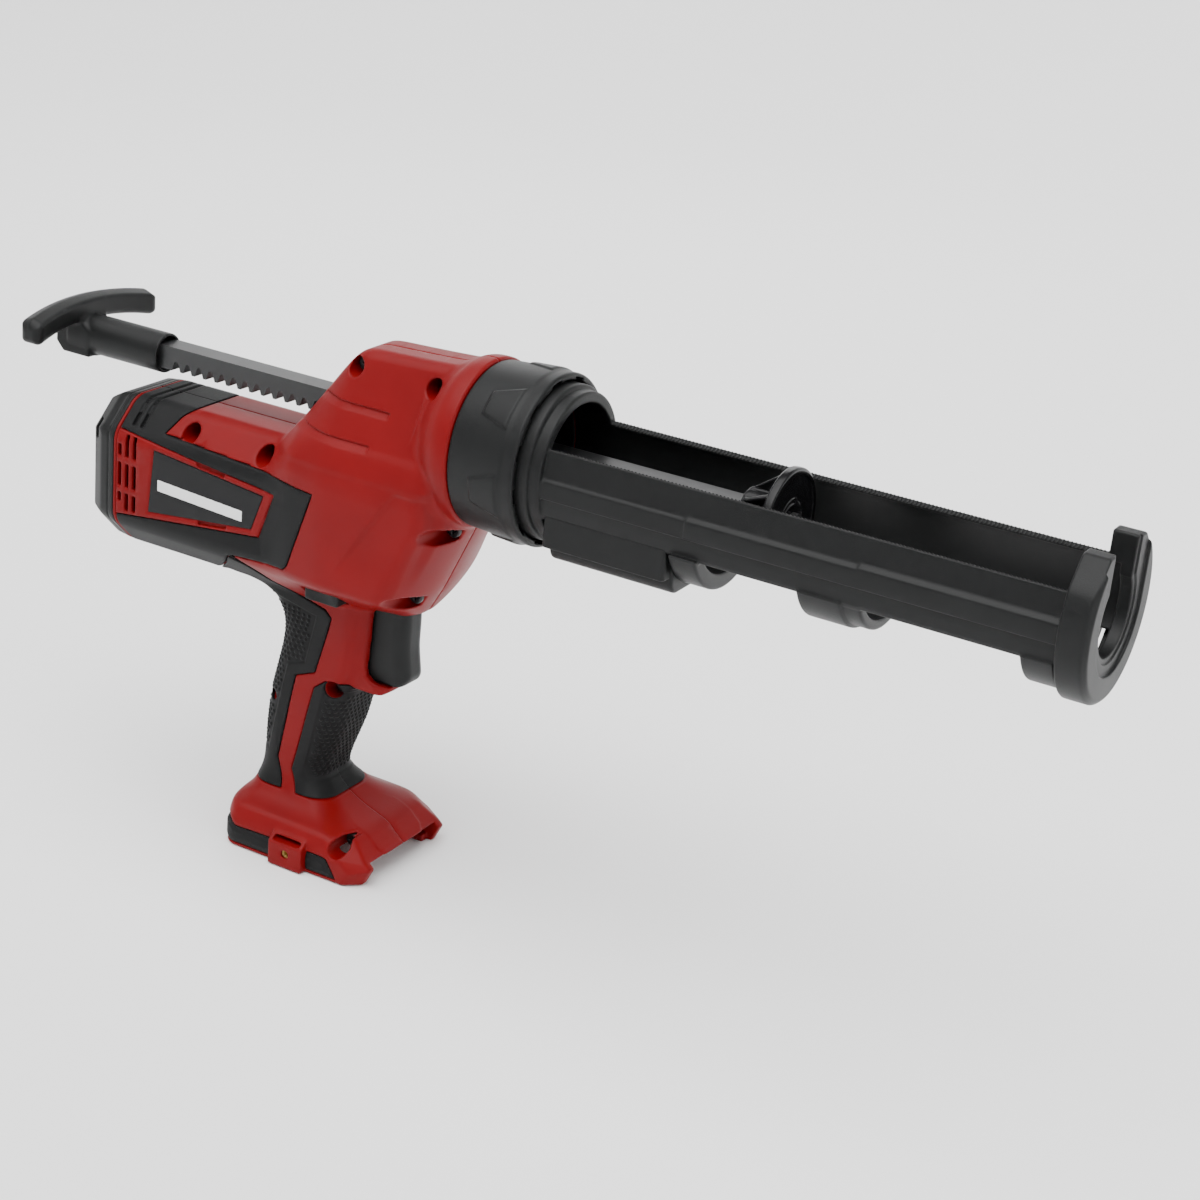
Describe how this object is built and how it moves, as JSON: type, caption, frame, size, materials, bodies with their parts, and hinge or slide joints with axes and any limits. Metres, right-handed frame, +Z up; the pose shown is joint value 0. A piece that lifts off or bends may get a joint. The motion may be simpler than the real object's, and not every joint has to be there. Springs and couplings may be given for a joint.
{
  "type": "cordless caulking tool",
  "caption": "Cordless caulking tool with a rack push rod, pull handle, open cartridge cradle, pistol grip with paddle trigger and a foot that takes a slide-in battery.",
  "frame": {"origin": "middle of the foot's underside, where the battery pack slides on", "axes": "+X along the cartridge to the muzzle, +Y to the tool's left, +Z up"},
  "size_m": [0.494, 0.08, 0.2406],
  "materials": {
    "red_plastic": "satin moulded",
    "black_plastic": "fine moulded grain",
    "soft_rubber": "soft overmould",
    "gloss_black": "polished",
    "black_steel": "blackened",
    "bright_steel": "ground",
    "gear_steel": "hobbed",
    "sinter_bronze": "sintered",
    "brass": "turned",
    "gearbox_alloy": "cast",
    "board_green": "solder mask"
  },
  "bodies": {
    "housing": {"right_shell": "red_plastic", "left_shell": "red_plastic", "rear_end_cap": "black_plastic", "housing_screws": "black_steel", "motor": "bright_steel", "gearbox": "gearbox_alloy", "cross_shaft_bearings": "bright_steel", "pinion_shaft_bearings": "bright_steel", "rear_rod_bush": "sinter_bronze", "front_rod_bush": "sinter_bronze", "trigger_spring": "bright_steel", "trigger_switch": "black_plastic", "terminal_block": "black_plastic", "battery_terminals": "brass", "control_board": "board_green", "belt_hook_inserts": "brass", "right_motor_band": "soft_rubber", "right_grip_front_pad": "soft_rubber", "right_grip_rear_pad": "soft_rubber", "right_foot_pad": "soft_rubber", "right_label_plate": "gloss_black", "left_motor_band": "soft_rubber", "left_grip_front_pad": "soft_rubber", "left_grip_rear_pad": "soft_rubber", "left_foot_pad": "soft_rubber", "left_label_plate": "gloss_black"},
    "rod": {"rack_rod": "black_steel", "pull_handle": "black_plastic", "handle_screw": "black_steel", "plunger": "gloss_black", "plunger_screw": "black_steel"},
    "pinion_set": {"pinion_shaft": "bright_steel", "spur_wheel": "gear_steel", "rack_pinion": "gear_steel"},
    "cross_set": {"cross_shaft": "bright_steel", "spur_pinion": "gear_steel", "bevel_wheel": "gear_steel"},
    "output_set": {"output_shaft": "bright_steel", "bevel_pinion": "gear_steel"},
    "collar": {"collar": "black_plastic"},
    "carriage": {"cradle": "black_plastic", "cradle_pad": "black_plastic", "front_cap": "black_plastic"},
    "trigger": {"trigger": "black_plastic"},
    "lock": {"lock_button": "black_plastic"}
  },
  "joints": [
    {"name": "rod_slide", "type": "slide", "parent": "housing", "child": "rod", "axis": [1, 0, 0], "range_m": [-0.092, 0.086]},
    {"name": "pinion_turn", "type": "hinge", "parent": "housing", "child": "pinion_set", "pos_m": [0.028, 0, 0.18445], "axis": [0, 1, 0], "range_deg": [-335, 315]},
    {"name": "cross_turn", "type": "hinge", "parent": "housing", "child": "cross_set", "pos_m": [0.028, 0, 0.1522], "axis": [0, 1, 0], "range_deg": [-480, 510]},
    {"name": "output_turn", "type": "hinge", "parent": "housing", "child": "output_set", "pos_m": [0.028, 0, 0.1522], "axis": [1, 0, 0], "range_deg": [-480, 510]},
    {"name": "collar_twist", "type": "hinge", "parent": "housing", "child": "collar", "pos_m": [0.085, 0, 0.204], "axis": [1, 0, 0], "range_deg": [0, 45]},
    {"name": "carriage_swivel", "type": "hinge", "parent": "housing", "child": "carriage", "pos_m": [0.095, 0, 0.204], "axis": [1, 0, 0], "continuous": true},
    {"name": "trigger_pull", "type": "slide", "parent": "housing", "child": "trigger", "axis": [-1, 0, 0], "range_m": [0, 0.007], "stiffness_N_per_m": 600, "deforming": ["trigger_spring"]},
    {"name": "lock_push", "type": "slide", "parent": "housing", "child": "lock", "axis": [0, 1, 0], "range_m": [-0.003, 0.003]}
  ],
  "couplings": [
    {"joint": "pinion_turn", "follows": "rod_slide", "rad_per_m": 62.5},
    {"joint": "cross_turn", "follows": "rod_slide", "rad_per_m": -95.588},
    {"joint": "output_turn", "follows": "rod_slide", "rad_per_m": -95.588}
  ]
}
